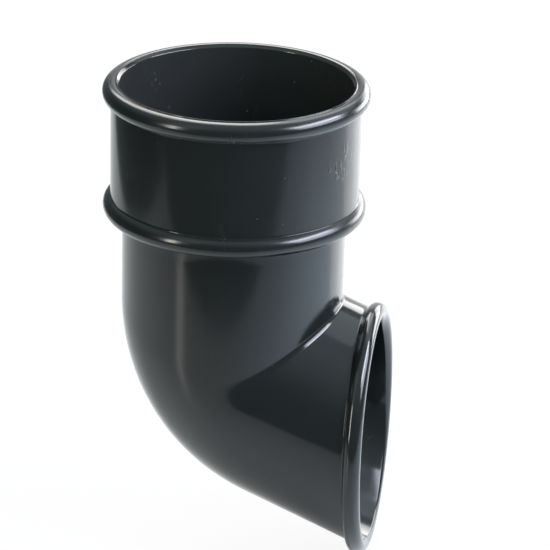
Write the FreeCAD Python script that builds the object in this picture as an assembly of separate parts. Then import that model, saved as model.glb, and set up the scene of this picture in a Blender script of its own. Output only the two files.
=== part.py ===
import FreeCAD, Part
import os
from math import cos, radians, sin, sqrt

# Downpipe shoe for a round rainwater pipe: one plastic moulding, 68 mm system.
# The pipe drops into the socket and stands on the stop. Below it the body runs into a sloping sleeve: the
# two tubes meet in a crease at the throat, which fades out at the sides, and in a smooth rounded heel. The
# sleeve ends in an upright mouth with a round bead.
# Frame, in millimetres: the origin is the centre of the pipe stop, +Z runs up the pipe, and +X is the way
# the water leaves.

NODE = "downpipe_shoe"

# Socket, from the rim down to the pipe stop
PIPE_OD = 68.0
PIPE_CLEARANCE = 0.4
SOCKET_WALL = 2.6
SOCKET_DEPTH = 38.2
LEAD_IN = 0.85
STOP_LEDGE = 3.5

# Bead round the rim, its top level with the rim: its radius, and how far its centre lies inside the socket's
# outer face
RIM_BEAD_RADIUS = 3.4
RIM_BEAD_SINK = 0.9

# Bead round the shoulder, level with the pipe stop, and the fillet between the shoulder and the body
SHOULDER_BEAD_RADIUS = 3.05
SHOULDER_BEAD_SINK = 0.9
SHOULDER_FILLET = 1.0

# Body and sleeve: the drop from the stop to the elbow, where their axes cross, the fall of the sleeve in
# degrees, and the heel's depth beyond the elbow
BODY_WALL = 2.4
ELBOW_DROP = 51.6
OUTLET_SLOPE = 22.5
HEEL_DEPTH = 26.4

# Outlet: the sleeve's top line from the throat to the middle of the bead, and the bead's radius
SLEEVE_TOP = 10.1
OUTLET_BEAD_RADIUS = 2.65

# Sizes that follow from the ones above
SOCKET_BORE = PIPE_OD / 2 + PIPE_CLEARANCE
SOCKET_RADIUS = SOCKET_BORE + SOCKET_WALL
BODY_BORE = SOCKET_BORE - STOP_LEDGE
BODY_RADIUS = BODY_BORE + BODY_WALL
SLOPE = radians(OUTLET_SLOPE)
HALF_TURN = radians(90 - OUTLET_SLOPE) / 2
MOUTH_X = BODY_RADIUS + SLEEVE_TOP * cos(SLOPE)

# Directions: the flow along the sleeve, and at the elbow the bisector towards the heel and the line across it
ORIGIN = FreeCAD.Vector(0, 0, 0)
UP = FreeCAD.Vector(0, 0, 1)
ACROSS = FreeCAD.Vector(0, 1, 0)
FLOW = FreeCAD.Vector(cos(SLOPE), 0, -sin(SLOPE))
TO_HEEL = FreeCAD.Vector(-cos(HALF_TURN), 0, -sin(HALF_TURN))
ALONG_BEND = FreeCAD.Vector(sin(HALF_TURN), 0, -cos(HALF_TURN))
ELBOW = UP * -ELBOW_DROP
MOUTH_CENTRE = ELBOW + FLOW * (MOUTH_X / cos(SLOPE))

# Longer than the part, for tools that cut right through it
REACH = 2 * (SOCKET_DEPTH + ELBOW_DROP + MOUTH_X + SOCKET_RADIUS)


def section_point(radius, height):
    return FreeCAD.Vector(radius, 0, height)


def line(start, end):
    return Part.LineSegment(start, end).toShape()


def arc(start, middle, end):
    return Part.Arc(start, middle, end).toShape()


def turned(edges):
    """Solid of revolution about the pipe's axis from a closed half section."""
    return Part.Face(Part.Wire(edges)).revolve(ORIGIN, UP, 360)


def bead_half_height(radius, sink):
    """Half the height of a bead where it meets the socket's outer face."""
    return sqrt(radius ** 2 - sink ** 2)


def socket_outside():
    """Socket with its rim, its two beads and the filleted shoulder, solid to the axis."""
    shoulder_r = SOCKET_RADIUS - SHOULDER_BEAD_SINK
    shoulder_z = -SHOULDER_BEAD_RADIUS
    shoulder_top = bead_half_height(SHOULDER_BEAD_RADIUS, SHOULDER_BEAD_SINK)
    rim_r = SOCKET_RADIUS - RIM_BEAD_SINK
    rim_z = SOCKET_DEPTH - RIM_BEAD_RADIUS
    rim_half = bead_half_height(RIM_BEAD_RADIUS, RIM_BEAD_SINK)
    fillet_mid = SHOULDER_FILLET * (1 - sqrt(0.5))

    foot_axis = section_point(0, shoulder_z - SHOULDER_FILLET)
    foot = section_point(BODY_RADIUS, shoulder_z - SHOULDER_FILLET)
    fillet_middle = section_point(BODY_RADIUS + fillet_mid, shoulder_z - fillet_mid)
    fillet_end = section_point(BODY_RADIUS + SHOULDER_FILLET, shoulder_z)
    bead_foot = section_point(shoulder_r, shoulder_z)
    bead_crest = section_point(shoulder_r + SHOULDER_BEAD_RADIUS, 0)
    bead_top = section_point(SOCKET_RADIUS, shoulder_top)
    rim_bead_foot = section_point(SOCKET_RADIUS, rim_z - rim_half)
    rim_bead_crest = section_point(rim_r + RIM_BEAD_RADIUS, rim_z)
    rim_bead_top = section_point(rim_r, SOCKET_DEPTH)
    rim_axis = section_point(0, SOCKET_DEPTH)
    return turned([
        line(foot_axis, foot),
        arc(foot, fillet_middle, fillet_end),
        line(fillet_end, bead_foot),
        arc(bead_foot, bead_crest, bead_top),
        line(bead_top, rim_bead_foot),
        arc(rim_bead_foot, rim_bead_crest, rim_bead_top),
        line(rim_bead_top, rim_axis),
        line(rim_axis, foot_axis),
    ])


def socket_inside():
    """Room for the pipe, from the stop to the chamfered mouth."""
    corners = [
        section_point(0, 0),
        section_point(SOCKET_BORE, 0),
        section_point(SOCKET_BORE, SOCKET_DEPTH - LEAD_IN),
        section_point(SOCKET_BORE + LEAD_IN, SOCKET_DEPTH),
        section_point(0, SOCKET_DEPTH),
    ]
    return turned([line(a, b) for a, b in zip(corners, corners[1:] + corners[:1])])


def elbow_sector(first, middle, last):
    """Wedge about the line across the elbow, from the first direction through the middle one to the last."""
    corners = [ELBOW, ELBOW + first * REACH, ELBOW + middle * REACH, ELBOW + last * REACH]
    outline = Part.makePolygon([corner - ACROSS * REACH for corner in corners + corners[:1]])
    return Part.Face(outline).extrude(ACROSS * (2 * REACH))


def ellipsoid(to_heel, across, along_bend):
    """Ellipsoid about the elbow with three given half axes, its seam turned away from the heel."""
    columns = (TO_HEEL * -to_heel, ACROSS * -across, ALONG_BEND * along_bend, ELBOW)
    rows = [[getattr(column, axis) for column in columns] for axis in "xyz"]
    return Part.makeSphere(1).transformGeometry(FreeCAD.Matrix(*sum(rows, []), 0, 0, 0, 1))


def elbow_bar(radius, heel_depth):
    """Round bar from the pipe stop to past the mouth, mitred at the throat and rounded at the heel.

    The heel is part of an ellipsoid about the elbow, as wide as the bar. Its length along the bend follows
    from touching both straight runs, which it does along two flat curves.
    """
    touch_depth = heel_depth * cos(HALF_TURN)
    bend_length = sqrt(radius ** 2 - touch_depth ** 2) / sin(HALF_TURN)
    inward = TO_HEEL * (heel_depth * touch_depth)
    onward = ALONG_BEND * (bend_length ** 2 * sin(HALF_TURN))
    drop_touch = (inward - onward).normalize()
    sleeve_touch = (inward + onward).normalize()
    to_throat = TO_HEEL * -1

    drop = Part.makeCylinder(radius, ELBOW_DROP + radius, ORIGIN, -UP)
    drop = drop.common(elbow_sector(drop_touch, UP, to_throat))
    sleeve = Part.makeCylinder(radius, REACH, ELBOW - FLOW * radius, FLOW)
    sleeve = sleeve.common(elbow_sector(to_throat, FLOW, sleeve_touch))
    heel = ellipsoid(heel_depth, radius, bend_length)
    heel = heel.common(elbow_sector(drop_touch, TO_HEEL, sleeve_touch))
    return drop.fuse([heel, sleeve])


def beyond_mouth():
    """Block in front of the mouth's upright plane."""
    return Part.makeBox(REACH, 2 * REACH, 2 * REACH, FreeCAD.Vector(MOUTH_X, -REACH, -REACH))


def outlet_bead():
    """Round bead that follows the mouth's oval edge."""
    top = MOUTH_CENTRE + UP * (BODY_RADIUS / cos(SLOPE))
    side = MOUTH_CENTRE + ACROSS * BODY_RADIUS
    edge = Part.Wire(Part.Ellipse(top, side, MOUTH_CENTRE).toShape())
    section = Part.Wire(Part.makeCircle(OUTLET_BEAD_RADIUS, top, ACROSS))
    return edge.makePipeShell([section], True, True)


body = elbow_bar(BODY_RADIUS, HEEL_DEPTH).cut(beyond_mouth())
waterway = elbow_bar(BODY_BORE, HEEL_DEPTH - BODY_WALL)
outside = socket_outside().fuse([body, outlet_bead()])
shoe = outside.cut(socket_inside().fuse(waterway)).removeSplitter()

os.makedirs("parts", exist_ok=True)
shoe.Solids[0].exportStep(os.path.join("parts", NODE + ".step"))
print(NODE, len(shoe.Solids), "solid, valid", shoe.isValid(), "volume", round(shoe.Volume), "mm3")
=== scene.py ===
from math import acos, asin, atan2, cos, degrees, pi, radians, sin, sqrt, tan

import bpy
import numpy as np
from mathutils import Matrix, Vector


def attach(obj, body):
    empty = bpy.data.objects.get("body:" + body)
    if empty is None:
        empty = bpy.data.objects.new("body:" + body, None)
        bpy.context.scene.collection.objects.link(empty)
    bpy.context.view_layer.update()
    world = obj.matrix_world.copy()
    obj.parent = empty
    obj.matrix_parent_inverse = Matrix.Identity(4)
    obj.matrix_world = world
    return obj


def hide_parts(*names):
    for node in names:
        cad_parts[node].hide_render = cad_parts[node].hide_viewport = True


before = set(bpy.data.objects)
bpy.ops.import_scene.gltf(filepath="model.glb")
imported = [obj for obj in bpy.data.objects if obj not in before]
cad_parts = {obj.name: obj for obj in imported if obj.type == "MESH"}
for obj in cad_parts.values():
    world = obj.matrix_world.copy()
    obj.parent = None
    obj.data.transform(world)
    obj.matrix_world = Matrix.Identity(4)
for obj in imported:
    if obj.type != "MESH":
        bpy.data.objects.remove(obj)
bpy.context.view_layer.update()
scene = bpy.context.scene
scene.view_settings.view_transform = "Standard"

# Lengths are in millimetres and angles in degrees, in the part's own frame: the origin is the middle of the
# pipe stop, +Z runs up the pipe, and the water leaves along +X.

# Socket: its bore and wall, the chamfer and the flat land of its rim, and the ledge that the pipe stands on
SOCKET_BORE = 34.4
SOCKET_WALL = 2.6
SOCKET_TOP = 38.2
LEAD_IN = 0.85
RIM_LAND = 0.2
STOP_LEDGE = 3.5

# Beads of the socket: their radii, how far their centres lie inside the socket's outer face, and how far the
# rim's bead stays below the rim
RIM_BEAD = 2.95
RIM_BEAD_SINK = 0.45
RIM_BEAD_DROP = 0.1
SHOULDER_BEAD = 3.05
SHOULDER_BEAD_SINK = 0.9

# Body, sleeve and mouth
BODY_WALL = 2.4
ELBOW_DROP = 51.6
OUTLET_SLOPE = 22.5
SLEEVE_TOP = 10.1
OUTLET_BEAD = 2.65

# Elbow: the radii on which the tube's lines turn. The throat's crease is sharpest in the middle and reaches
# its full rounding at THROAT_SPREAD to either side. HEEL_FADE says where the heel's rounding starts and where
# nothing holds it back any more, as shares of the way from the throat to the heel.
THROAT_SHARP = 0.8
THROAT_ROUND = 2.2
THROAT_SPREAD = 30
HEEL_ROUND = 67.4
BORE_THROAT_ROUND = 0.8
BORE_HEEL_ROUND = 64.9
HEEL_FADE = (0.1, 0.8)

# Small roundings
LEAD_IN_ROUND = 0.4
RIM_ROUND = 0.12
BEAD_FILLET = 0.25
SHOULDER_FILLET = 1.0
MOUTH_FILLET = 0.5
STOP_ROUND = 0.25

# Fineness of the mesh: points round the tube, points of the half section's arcs, and rings of each stretch
AROUND = 240
CORNER_POINTS = 4
BEAD_POINTS = 26
FILLET_POINTS = 5
SHOULDER_FILLET_POINTS = 7
MOUTH_FOOT_RINGS = 7
MOUTH_BEAD_RINGS = 40
MOUTH_LIP_RINGS = 6
BEND_RINGS = 44
BORE_BEND_RINGS = 36
RUN_RINGS = 12
BORE_RUN_RINGS = 10

# Rings of their own on plain walls: how far they lie from a bead's fillet, above the shoulder's bead, from
# the shoulder's fillet and from the stop, and their heights in the socket's bore
FILLET_RING = 0.5
WALL_RING = 10
SHOULDER_RING = 0.4
STOP_RING = 1
BORE_RING_HEIGHTS = (12, 24)

# Plastic: linear colours, roughness, and the heights of its relief as shares of BUMP_HEIGHT
PLASTIC_DEEP = (0.0090, 0.0105, 0.0108, 1)
PLASTIC_PALE = (0.0116, 0.0134, 0.0138, 1)
# Paler colour of the inner walls, in patches: painted fill light, lighter than the plastic's own colour.
INSIDE_PAINTED_FILL = (0.026, 0.028, 0.028, 1)
WEAR_COLOUR = (0.16, 0.17, 0.17, 1)
PLASTIC_IOR = 1.53
ROUGH_LOW = 0.10
ROUGH_HIGH = 0.16
BEAD_ROUGH = 0.09
DRAW_ROUGH = 0.05
WORN_ROUGH = 0.3
BUMP_HEIGHT = 0.12
DRAW_HEIGHT = 0.03
GRAIN_HEIGHT = 0.012
BEAD_GRAIN_HEIGHT = 0.06
WEAR_DEPTH = 0.25
NICK_HEIGHT = 2.0
HAIR_STRENGTH = 0.12
DUST_STRENGTH = 0.5

# Marks of use: the middle and the reach of the nicked spot, and of each scuff, with the scuff's strength
NICKED = (33.9, -14.8, 21.0)
NICKED_REACH = 9.0
SCUFFS = [
    ((33.2, -16.4, 20.4), 6.0, 0.25),
    ((20.5, -30.8, 21.2), 1.3, 1.0),
    ((-23.0, -28.6, 38.2), 2.2, 1.0),
    ((-13.4, -35.7, 37.5), 2.0, 1.0),
    ((-28.1, 19.9, 29.5), 5.0, 0.25),
    ((-24.5, 24.1, 20.0), 4.0, 0.2),
]

# White table: its height and its edges. Its colour is darkened towards the near edge as painted shade, where
# less light falls, and is full from TABLE_FADE on. A painted pool of cool light tints its right front part
# and fades out to the left and the rear. The camera and reflections see shares of plain white in place of the
# lit surface.
FLOOR_Z = -108.0
TABLE_LEFT = -305
TABLE_RIGHT = 2500
TABLE_NEAR = -222
TABLE_FAR = 2500
TABLE_FADE = -20
# Painted shade: the share of the table's colour left at its near edge.
TABLE_NEAR_SHADE = 0.5
TABLE_WHITE = (0.85, 0.85, 0.85, 1)
# Painted light: the colour of a pool of cool light painted into the table's right front part.
TABLE_PAINTED_COOL_LIGHT = (0.76, 0.90, 1.0, 1)
TABLE_COOL_LEFT = 0
TABLE_COOL_RIGHT = 160
TABLE_COOL_FRONT = 40
TABLE_COOL_REAR = 220
TABLE_ROUGH = 0.25
TABLE_SEEN = 0.92
TABLE_MIRRORED = 0.3
SEEN_WHITE = 1.0

# Room: its levels of light, and the stretches of a direction's x, y and z over which they change
ROOM_TINT = (0.78, 0.97, 1.0, 1)
ROOM_FRONT = 0.21
ROOM_REAR = 0.23
ROOM_LEFT = 0.5
ROOM_TOP = 0.46
REAR_FROM = -0.35
REAR_TO = 0.5
LEFT_FROM = -0.95
LEFT_TO = -0.5
TOP_FROM = 0.3
TOP_TO = 1.0
BEHIND_FROM = 0.88
BEHIND_TO = 0.97

# Lamps, aimed at a point on the pipe's axis: name, azimuth, elevation, distance, width, height, radiance and
# colour
AIM_Z = -35
PANELS = [
    ("right_softbox", 86, 36, 380, 290, 210, 9.4, (0.80, 0.85, 1.0)),
    ("right_tube", 88, 42, 370, 290, 40, 15.0, (0.84, 0.90, 1.0)),
    ("rear_right", 142, 8, 620, 280, 210, 7.8, (0.98, 0.98, 1.0)),
    ("rear_right_top", 146, 52, 650, 450, 400, 0.8, (0.85, 0.92, 1.0)),
    ("rear", 163, 12, 1000, 340, 400, 4.5, (1.0, 0.98, 0.96)),
    ("rear_top", 180, 48, 1000, 520, 650, 2.0, (1.0, 0.98, 0.95)),
    ("rear_left_top", -158, 46, 900, 400, 600, 4.5, (1.0, 0.96, 0.91)),
    ("left_front", -40, 45, 900, 400, 500, 0.4, (0.95, 1.0, 0.97)),
    ("left_window", -44, 14, 1500, 185, 750, 15.0, (1.0, 0.98, 0.9)),
]

# Camera: the photograph's viewpoint, fitted to the shoe's outlines. It looks at a point CAMERA_ACROSS to its
# right of the pipe's axis. The focal length is in pixels of the photograph.
CAMERA_AZIMUTH = 9.4
CAMERA_ELEVATION = 22.16
CAMERA_ROLL = 1.5
CAMERA_DISTANCE = 1000
CAMERA_ACROSS = 12.68
CAMERA_Z = -22.83
FOCAL_PIXELS = 3329.05
PHOTO_PIXELS = 550
SENSOR_WIDTH = 36
CLIP_NEAR = 10
CLIP_FAR = 50000

# Sizes and directions that follow from the ones above
SOCKET_R = SOCKET_BORE + SOCKET_WALL
RIM_LIP_R = SOCKET_BORE + LEAD_IN + RIM_LAND
RIM_CENTRE = (SOCKET_R - RIM_BEAD_SINK, SOCKET_TOP - RIM_BEAD - RIM_BEAD_DROP)
SHOULDER_CENTRE = (SOCKET_R - SHOULDER_BEAD_SINK, 0)
BORE_R = SOCKET_BORE - STOP_LEDGE
BODY_R = BORE_R + BODY_WALL
SLOPE = radians(OUTLET_SLOPE)
HALF_TURN = radians(90 - OUTLET_SLOPE) / 2
MOUTH_X = BODY_R + SLEEVE_TOP * cos(SLOPE)
FLOW = np.array([cos(SLOPE), 0, -sin(SLOPE)])
RISE = np.array([sin(SLOPE), 0, cos(SLOPE)])
SIDE = np.array([0.0, 1.0, 0.0])
ELBOW = np.array([0.0, 0.0, -ELBOW_DROP])
PHI = np.arange(AROUND) * 2 * pi / AROUND


def metres(millimetres):
    return millimetres / 1000


def smooth_step(values, low, high):
    """0 up to the low value, 1 from the high one on, and a smooth rise between them."""
    share = np.clip((values - low) / (high - low), 0, 1)
    return share ** 2 * (3 - 2 * share)


def arc(centre, radius, start, end, count):
    """Points of a half section's arc, from one angle to another."""
    angles = np.radians(np.linspace(start, end, count))
    return [(centre[0] + radius * cos(t), centre[1] + radius * sin(t)) for t in angles]


def rounded(points, radii):
    """A half section's polyline with a small arc at each inner corner."""
    out = [points[0]]
    for before, corner, after, radius in zip(points, points[1:], points[2:], radii):
        p, q, r = (np.array(point, float) for point in (before, corner, after))
        u = (p - q) / np.linalg.norm(p - q)
        v = (r - q) / np.linalg.norm(r - q)
        half = np.arccos(np.clip(u @ v, -1, 1)) / 2
        centre = q + (u + v) / np.linalg.norm(u + v) * radius / sin(half)
        first = q + u * radius / tan(half) - centre
        last = q + v * radius / tan(half) - centre
        for t in np.linspace(0, 1, CORNER_POINTS):
            spoke = first * (1 - t) + last * t
            out.append(tuple(centre + spoke / np.linalg.norm(spoke) * radius))
    return out + [points[-1]]


def bead_to_wall(centre, radius, side):
    """Centre of the fillet between a bead and the socket's wall, and the bead's angle where the two touch."""
    outward = SOCKET_R + BEAD_FILLET - centre[0]
    upward = side * sqrt((radius + BEAD_FILLET) ** 2 - outward ** 2)
    return (centre[0] + outward, centre[1] + upward), degrees(atan2(upward, outward))


def turned(profile):
    """Rings about the pipe's axis, one for each point of a half section."""
    return [np.stack([r * np.cos(PHI), r * np.sin(PHI), np.full(AROUND, z)], 1) for r, z in profile]


def bend(radius, throat, heel, count):
    """Rings round the elbow, where each line of the tube turns on its own radius."""
    share = (1 - np.cos(PHI)) / 2
    turn_radius = throat + (heel - throat) * share ** 2 * smooth_step(share, *HEEL_FADE)
    start_x = radius * np.cos(PHI)
    start_z = -ELBOW_DROP + (start_x + turn_radius) * tan(HALF_TURN)
    rings = []
    for t in np.linspace(0, 2 * HALF_TURN, count):
        x = start_x + turn_radius * (1 - cos(t))
        z = start_z - turn_radius * sin(t)
        rings.append(np.stack([x, radius * np.sin(PHI), z], 1))
    return rings


def between(a, b, count):
    """Rings between two others, without those two."""
    return [a * (1 - t) + b * t for t in np.linspace(0, 1, count)[1:-1]]


def onto_tube(points, radius):
    """Points moved square to the sleeve's axis until they lie on a tube about it."""
    along = np.outer((points - ELBOW) @ FLOW, FLOW)
    off = points - ELBOW - along
    return ELBOW + along + off / np.linalg.norm(off, axis=1)[:, None] * radius


def along_sleeve(a, b, radius):
    """Rings of a tube about the sleeve's axis, between two of its rings."""
    return [onto_tube(ring, radius) for ring in between(a, b, RUN_RINGS)]


def mouth_rings():
    """The sleeve's last ring, the bead round the mouth from outside to inside, and the bore's first ring."""
    out = np.outer(np.cos(PHI), RISE) + np.outer(np.sin(PHI), SIDE)
    foot = ELBOW + out * BODY_R
    edge = foot + np.outer((MOUTH_X - foot[:, 0]) / FLOW[0], FLOW)
    flat = np.hypot(out[:, 1], out[:, 2])[:, None]
    upright = out * [0, 1, 1] / flat
    back = upright * out[:, :1] - flat * [1, 0, 0]
    back /= np.linalg.norm(back, axis=1)[:, None]

    def at(backward, outward):
        return edge + back * backward + out * outward

    reach = OUTLET_BEAD + MOUTH_FILLET
    near = sqrt(reach ** 2 - MOUTH_FILLET ** 2)
    first = asin(MOUTH_FILLET / reach)
    wall = BODY_R - BORE_R
    drop = wall - MOUTH_FILLET
    front = -sqrt((OUTLET_BEAD - MOUTH_FILLET) ** 2 - drop ** 2)
    last = atan2(-drop, front) + 2 * pi
    rings = [onto_tube(at(near, 0), BODY_R)]
    for t in np.linspace(-pi / 2, first - pi, MOUTH_FOOT_RINGS)[1:-1]:
        rings.append(at(near + MOUTH_FILLET * cos(t), MOUTH_FILLET + MOUTH_FILLET * sin(t)))
    for t in np.linspace(first, last, MOUTH_BEAD_RINGS):
        rings.append(at(OUTLET_BEAD * cos(t), OUTLET_BEAD * sin(t)))
    for t in np.linspace(last, 3 * pi / 2, MOUTH_LIP_RINGS)[1:-1]:
        rings.append(at(front + MOUTH_FILLET * cos(t), -drop + MOUTH_FILLET * sin(t)))
    rings.append(onto_tube(at(front, -wall), BORE_R))
    return rings


def socket_profile():
    """Half section of the socket's outside, from the lead-in over the rim and both beads to the body."""
    under, under_angle = bead_to_wall(RIM_CENTRE, RIM_BEAD, -1)
    over, over_angle = bead_to_wall(SHOULDER_CENTRE, SHOULDER_BEAD, 1)
    top_angle = degrees(acos((RIM_LIP_R - RIM_CENTRE[0]) / RIM_BEAD))
    rim = [
        (SOCKET_BORE, 0),
        (SOCKET_BORE, SOCKET_TOP - LEAD_IN),
        (SOCKET_BORE + LEAD_IN, SOCKET_TOP),
        (RIM_LIP_R, SOCKET_TOP),
        (RIM_LIP_R, RIM_CENTRE[1] + RIM_BEAD * sin(radians(top_angle))),
    ]
    wall_heights = (under[1] - FILLET_RING, over[1] + WALL_RING, over[1] + FILLET_RING)
    foot = (BODY_R + SHOULDER_FILLET, -SHOULDER_BEAD - SHOULDER_FILLET)

    profile = rounded(rim, [LEAD_IN_ROUND, RIM_ROUND, RIM_ROUND])[1:-1]
    profile += arc(RIM_CENTRE, RIM_BEAD, top_angle, under_angle, BEAD_POINTS)
    profile += arc(under, BEAD_FILLET, 180 + under_angle, 180, FILLET_POINTS)[1:]
    profile += [(SOCKET_R, z) for z in wall_heights]
    profile += arc(over, BEAD_FILLET, 180, 180 + over_angle, FILLET_POINTS)
    profile += arc(SHOULDER_CENTRE, SHOULDER_BEAD, over_angle, -90, BEAD_POINTS)[1:]
    profile += [(foot[0] + SHOULDER_RING, -SHOULDER_BEAD)]
    profile += arc(foot, SHOULDER_FILLET, 90, 180, SHOULDER_FILLET_POINTS)
    return profile


def bore_profile():
    """Half section of the inside, from just below the pipe stop up the socket's bore."""
    stop = [(BORE_R, -STOP_RING), (BORE_R, 0), (SOCKET_BORE, 0), (SOCKET_BORE, STOP_RING)]
    return rounded(stop, [STOP_ROUND, STOP_ROUND]) + [(SOCKET_BORE, z) for z in BORE_RING_HEIGHTS]


def shoe_rings():
    """The whole skin as rings, from the rim down the outside, round the mouth and back up the inside."""
    from_throat = np.degrees(np.minimum(PHI, 2 * pi - PHI))
    throat = THROAT_SHARP + (THROAT_ROUND - THROAT_SHARP) * smooth_step(from_throat, 0, THROAT_SPREAD)
    socket = turned(socket_profile())
    outer = bend(BODY_R, throat, HEEL_ROUND, BEND_RINGS)
    mouth = mouth_rings()
    inner = bend(BORE_R, BORE_THROAT_ROUND, BORE_HEEL_ROUND, BORE_BEND_RINGS)[::-1]
    bore = turned(bore_profile())
    rings = socket + between(socket[-1], outer[0], RUN_RINGS) + outer
    rings += along_sleeve(outer[-1], mouth[0], BODY_R) + mouth
    rings += along_sleeve(mouth[-1], inner[0], BORE_R) + inner
    rings += between(inner[-1], bore[0], BORE_RUN_RINGS) + bore
    return rings


def build_shoe():
    """Closed skin through all the rings, the last one joined to the first."""
    rings = shoe_rings()
    count = len(rings)
    ring, step = np.meshgrid(np.arange(count), np.arange(AROUND), indexing="ij")
    here = ring * AROUND
    below = (ring + 1) % count * AROUND
    beside = (step + 1) % AROUND
    faces = np.stack([here + step, below + step, below + beside, here + beside], -1)
    mesh = bpy.data.meshes.new("shoe_skin")
    mesh.from_pydata(metres(np.concatenate(rings)).tolist(), [], faces.reshape(-1, 4).tolist())
    mesh.shade_smooth()
    shoe = bpy.data.objects.new("shoe_skin", mesh)
    scene.collection.objects.link(shoe)
    return shoe


class Nodes:
    """Short way to add nodes to a tree: inputs are numbers, colours or other nodes' outputs."""

    def __init__(self, tree):
        self.tree = tree
        tree.nodes.clear()

    def add(self, kind, inputs=None, output=0, **settings):
        node = self.tree.nodes.new(kind)
        for name, value in settings.items():
            setattr(node, name, value)
        for key, value in (inputs or {}).items():
            if isinstance(value, bpy.types.NodeSocket):
                self.tree.links.new(value, node.inputs[key])
            else:
                node.inputs[key].default_value = value
        return node.outputs[output]

    def surface(self, shader, kind="ShaderNodeOutputMaterial"):
        output = self.tree.nodes.new(kind)
        self.tree.links.new(shader, output.inputs["Surface"])

    def math(self, operation, a, b, clamp=False):
        return self.add("ShaderNodeMath", {0: a, 1: b}, operation=operation, use_clamp=clamp)

    def plus(self, a, b, clamp=False):
        return self.math("ADD", a, b, clamp)

    def times(self, a, b, clamp=False):
        return self.math("MULTIPLY", a, b, clamp)

    def ramp(self, value, low, high, to_low=0.0, to_high=1.0):
        """Smooth change from one result to another while the value goes from low to high."""
        inputs = {"Value": value, "From Min": low, "From Max": high, "To Min": to_low, "To Max": to_high}
        return self.add("ShaderNodeMapRange", inputs, interpolation_type="SMOOTHSTEP")

    def rising(self, length, low, high):
        """0 up to one length in millimetres and 1 from another on."""
        return self.ramp(length, metres(low), metres(high))

    def falling(self, length, low, high):
        """1 up to one length in millimetres and 0 from another on."""
        return self.ramp(length, metres(low), metres(high), 1.0, 0.0)

    def near(self, place, centre, reach):
        """1 at a point of the object, falling to 0 at a reach."""
        inputs = {0: place, 1: [metres(v) for v in centre]}
        distance = self.add("ShaderNodeVectorMath", inputs, output="Value", operation="DISTANCE")
        return self.falling(distance, 0.0, reach)

    def stretched(self, vector, scale):
        return self.add("ShaderNodeVectorMath", {0: vector, 1: scale}, operation="MULTIPLY")

    def noise(self, vector, scale=1.0, detail=2.0):
        inputs = {"Vector": vector, "Scale": scale, "Detail": detail, "Roughness": 0.55}
        return self.add("ShaderNodeTexNoise", inputs)

    def mix(self, share, a, b):
        """Colour between two others."""
        return self.add("ShaderNodeMix", {0: share, 6: a, 7: b}, output=2, data_type="RGBA")

    def ray(self, kind):
        return self.add("ShaderNodeLightPath", output=kind)

    def mirrored(self):
        """1 for rays that a glossy or clear surface sends on."""
        return self.plus(self.ray("Is Glossy Ray"), self.ray("Is Transmission Ray"))


def new_material(name):
    material = bpy.data.materials.new(name)
    material.use_nodes = True
    return material, Nodes(material.node_tree)


def bead_mask(n, off_axis, height):
    """1 on the two beads of the socket."""
    return n.times(n.rising(off_axis, SOCKET_R, SOCKET_R + 0.6), n.rising(height, -6, -4))


def painted_fill_mask(n, off_axis, height):
    """1 on the inner walls of the socket and of the body, which get the paler colour of painted fill light.
    """
    socket = n.times(n.falling(off_axis, SOCKET_BORE + 0.2, SOCKET_BORE + 0.6), n.rising(height, -2, 0))
    body = n.times(n.falling(off_axis, BORE_R + 0.6, BORE_R + 1.6), n.rising(height, -50, -45))
    return n.math("MAXIMUM", socket, body)


def hair_scratches(n, place):
    """Fine wavering lines, mostly up and down, in patches."""
    swirl = n.add("ShaderNodeTexNoise", {"Vector": place, "Scale": 60.0, "Detail": 2.0}, output="Color")
    shift = n.stretched(swirl, (0.004, 0.004, 0.004))
    wavering = n.add("ShaderNodeVectorMath", {0: place, 1: shift}, operation="ADD")
    cells = {"Vector": n.stretched(wavering, (420.0, 420.0, 60.0)), "Scale": 0.55}
    edge = n.add("ShaderNodeTexVoronoi", cells, feature="DISTANCE_TO_EDGE")
    scratched = n.ramp(n.noise(place, 95.0), 0.62, 0.70)
    return n.times(n.ramp(edge, 0.0, 0.018, 1.0, 0.0), scratched)


def scuff_marks(n, place):
    """Small chips, only round the places where the photograph shows them."""
    spots = 0.0
    for centre, reach, strength in SCUFFS:
        spots = n.plus(spots, n.times(n.near(place, centre, reach), strength))
    chips = n.ramp(n.noise(place, 700.0), 0.60, 0.66)
    return n.times(spots, chips, clamp=True)


def nick_marks(n, place):
    """Small raised nicks on the socket's right."""
    burrs = n.noise(n.stretched(place, (620.0, 620.0, 330.0)))
    return n.times(n.ramp(burrs, 0.56, 0.64), n.near(place, NICKED, NICKED_REACH))


def dust_specks(n, place, patches):
    """Scattered specks, in patches."""
    distance = n.add("ShaderNodeTexVoronoi", {"Vector": place, "Scale": 190.0, "Randomness": 1.0})
    return n.times(n.ramp(distance, 0.035, 0.065, 1.0, 0.0), n.ramp(patches, 0.50, 0.62))


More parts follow.
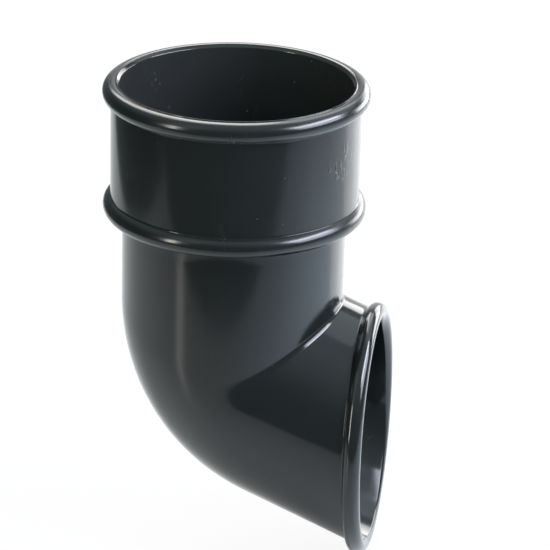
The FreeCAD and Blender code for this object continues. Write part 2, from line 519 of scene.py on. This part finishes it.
def plastic():
    """Near-black glossy plastic with draw marks, faint waviness, scratches, scuffs, nicks and dust, and
    painted fill light as a paler colour on its inner walls.
    """
    material, n = new_material("black_pvc_worn")
    place = n.add("ShaderNodeTexCoord", output="Object")
    flat = n.stretched(place, (1.0, 1.0, 0.0))
    off_axis = n.add("ShaderNodeVectorMath", {0: flat}, output="Value", operation="LENGTH")
    height = n.add("ShaderNodeSeparateXYZ", {0: place}, output="Z")
    beads = bead_mask(n, off_axis, height)
    inside = painted_fill_mask(n, off_axis, height)

    patches = n.noise(place, 38.0, detail=4.0)
    draw = n.noise(n.stretched(place, (900.0, 900.0, 18.0)))
    grain = n.noise(place, 2600.0)
    wave = n.noise(n.stretched(place, (46.0, 46.0, 17.0)), detail=1.0)
    hair = n.times(hair_scratches(n, place), HAIR_STRENGTH)
    wear = n.plus(hair, scuff_marks(n, place), clamp=True)
    dust = n.times(dust_specks(n, place, patches), DUST_STRENGTH)
    pale = n.plus(wear, dust, clamp=True)

    colour = n.mix(n.ramp(patches, 0.3, 0.7), PLASTIC_DEEP, PLASTIC_PALE)
    # Painted fill light: the inner walls get a paler colour, in patches.
    colour = n.mix(n.times(inside, n.ramp(patches, 0.2, 0.8, 0.75, 1.0)), colour, INSIDE_PAINTED_FILL)
    colour = n.mix(pale, colour, WEAR_COLOUR)

    rough = n.ramp(patches, 0.25, 0.75, ROUGH_LOW, ROUGH_HIGH)
    rough = n.plus(rough, n.times(n.math("SUBTRACT", draw, 0.5), DRAW_ROUGH))
    rough = n.plus(rough, n.times(beads, BEAD_ROUGH))
    rough = n.plus(rough, n.times(pale, WORN_ROUGH), clamp=True)

    grain_height = n.plus(n.times(beads, BEAD_GRAIN_HEIGHT), GRAIN_HEIGHT)
    relief = n.plus(wave, n.times(draw, DRAW_HEIGHT))
    relief = n.plus(relief, n.times(grain, grain_height))
    relief = n.math("SUBTRACT", relief, n.times(wear, WEAR_DEPTH))
    relief = n.plus(relief, n.times(nick_marks(n, place), NICK_HEIGHT))
    bump = n.add("ShaderNodeBump", {"Strength": 1.0, "Distance": metres(BUMP_HEIGHT), "Height": relief})

    inputs = {"Base Color": colour, "Roughness": rough, "IOR": PLASTIC_IOR, "Normal": bump}
    n.surface(n.add("ShaderNodeBsdfPrincipled", inputs))
    return material


def white_table():
    """White top, with plain white mixed in for the camera and for reflections. From below it is clear."""
    material, n = new_material("white_table")
    place = n.add("ShaderNodeTexCoord", output="Object")
    x, y = (n.add("ShaderNodeSeparateXYZ", {0: place}, output=axis) for axis in "XY")
    # Painted light: a pool of cool light is painted into the colour of the table's right front part.
    to_right = n.rising(x, TABLE_COOL_LEFT, TABLE_COOL_RIGHT)
    to_front = n.falling(y, TABLE_COOL_FRONT, TABLE_COOL_REAR)
    colour = n.mix(n.times(to_right, to_front), TABLE_WHITE, TABLE_PAINTED_COOL_LIGHT)
    # Painted shade: the table's colour darkens towards its near edge.
    painted_shade = n.ramp(y, metres(TABLE_NEAR), metres(TABLE_FADE), TABLE_NEAR_SHADE, 1.0)
    shaded_colour = n.add("ShaderNodeVectorMath", {0: colour, "Scale": painted_shade}, operation="SCALE")
    lit = n.add("ShaderNodeBsdfPrincipled", {"Base Color": shaded_colour, "Roughness": TABLE_ROUGH})
    white = n.add("ShaderNodeEmission", {"Color": (1, 1, 1, 1), "Strength": SEEN_WHITE})
    seen = n.times(n.ray("Is Camera Ray"), TABLE_SEEN)
    mirrored = n.times(n.mirrored(), TABLE_MIRRORED)
    top = n.add("ShaderNodeMixShader", {0: n.plus(seen, mirrored), 1: lit, 2: white})
    from_below = n.add("ShaderNodeNewGeometry", output="Backfacing")
    clear = n.add("ShaderNodeBsdfTransparent")
    n.surface(n.add("ShaderNodeMixShader", {0: from_below, 1: top, 2: clear}))
    return material


def table():
    """Table top under the shoe. Beyond its near and left edges the plastic mirrors the dark room."""
    corners = [
        (TABLE_LEFT, TABLE_NEAR, FLOOR_Z),
        (TABLE_RIGHT, TABLE_NEAR, FLOOR_Z),
        (TABLE_RIGHT, TABLE_FAR, FLOOR_Z),
        (TABLE_LEFT, TABLE_FAR, FLOOR_Z),
    ]
    mesh = bpy.data.meshes.new("table")
    mesh.from_pydata(metres(np.array(corners)).tolist(), [], [(0, 1, 2, 3)])
    mesh.materials.append(white_table())
    obj = bpy.data.objects.new("table", mesh)
    scene.collection.objects.link(obj)


def room():
    """White for the camera. As light it is dim all round, darkest on the far left and brighter overhead.

    The plastic mirrors white straight behind the shoe, and the dim room elsewhere.
    """
    world = bpy.data.worlds.new("room")
    scene.world = world
    world.use_nodes = True
    n = Nodes(world.node_tree)
    direction = n.add("ShaderNodeTexCoord", output="Generated")
    x, y, z = (n.add("ShaderNodeSeparateXYZ", {0: direction}, output=axis) for axis in "XYZ")
    level = n.ramp(y, REAR_FROM, REAR_TO, ROOM_FRONT, ROOM_REAR)
    level = n.times(level, n.ramp(x, LEFT_FROM, LEFT_TO, ROOM_LEFT, 1.0))
    level = n.plus(level, n.ramp(z, TOP_FROM, TOP_TO, 0.0, ROOM_TOP))
    lit = n.add("ShaderNodeBackground", {"Color": ROOM_TINT, "Strength": level})
    white = n.add("ShaderNodeBackground", {"Color": (1, 1, 1, 1), "Strength": SEEN_WHITE})
    behind = n.times(n.mirrored(), n.ramp(y, BEHIND_FROM, BEHIND_TO))
    seen = n.plus(n.ray("Is Camera Ray"), behind, clamp=True)
    n.surface(n.add("ShaderNodeMixShader", {0: seen, 1: lit, 2: white}), "ShaderNodeOutputWorld")


def towards(azimuth, elevation):
    """Direction from the shoe. Azimuth 0 is about the camera's side, 90 is the outlet's side."""
    a = radians(azimuth)
    e = radians(elevation)
    return Vector((sin(a) * cos(e), -cos(a) * cos(e), sin(e)))


def placed(obj, location, rotation):
    obj.location = [metres(v) for v in location]
    obj.rotation_mode = "QUATERNION"
    obj.rotation_quaternion = rotation
    scene.collection.objects.link(obj)
    return obj


def panel(name, azimuth, elevation, distance, width, height, radiance, colour):
    """Area lamp aimed at the shoe."""
    away = towards(azimuth, elevation)
    lamp = bpy.data.lights.new(name, "AREA")
    lamp.shape = "RECTANGLE"
    lamp.size = metres(width)
    lamp.size_y = metres(height)
    lamp.energy = radiance * pi * lamp.size * lamp.size_y
    lamp.color = colour
    spot = away * distance + Vector((0, 0, AIM_Z))
    obj = placed(bpy.data.objects.new(name, lamp), spot, away.to_track_quat("Z", "Y"))
    obj.visible_camera = False


def camera():
    """Camera at the photograph's viewpoint."""
    azimuth = radians(CAMERA_AZIMUTH)
    roll = radians(CAMERA_ROLL)
    back = towards(CAMERA_AZIMUTH, CAMERA_ELEVATION)
    right = Vector((cos(azimuth), sin(azimuth), 0))
    up = back.cross(right)
    axes = (cos(roll) * right + sin(roll) * up, cos(roll) * up - sin(roll) * right, back)
    data = bpy.data.cameras.new("camera")
    data.sensor_width = SENSOR_WIDTH
    data.lens = FOCAL_PIXELS / PHOTO_PIXELS * SENSOR_WIDTH
    data.clip_start = metres(CLIP_NEAR)
    data.clip_end = metres(CLIP_FAR)
    spot = right * CAMERA_ACROSS + Vector((0, 0, CAMERA_Z)) + back * CAMERA_DISTANCE
    turn = Matrix(axes).transposed().to_quaternion()
    scene.camera = placed(bpy.data.objects.new("camera", data), spot, turn)


shoe = build_shoe()
shoe.data.materials.append(plastic())
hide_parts("downpipe_shoe")
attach(shoe, "root")
table()
room()
for row in PANELS:
    panel(*row)
camera()
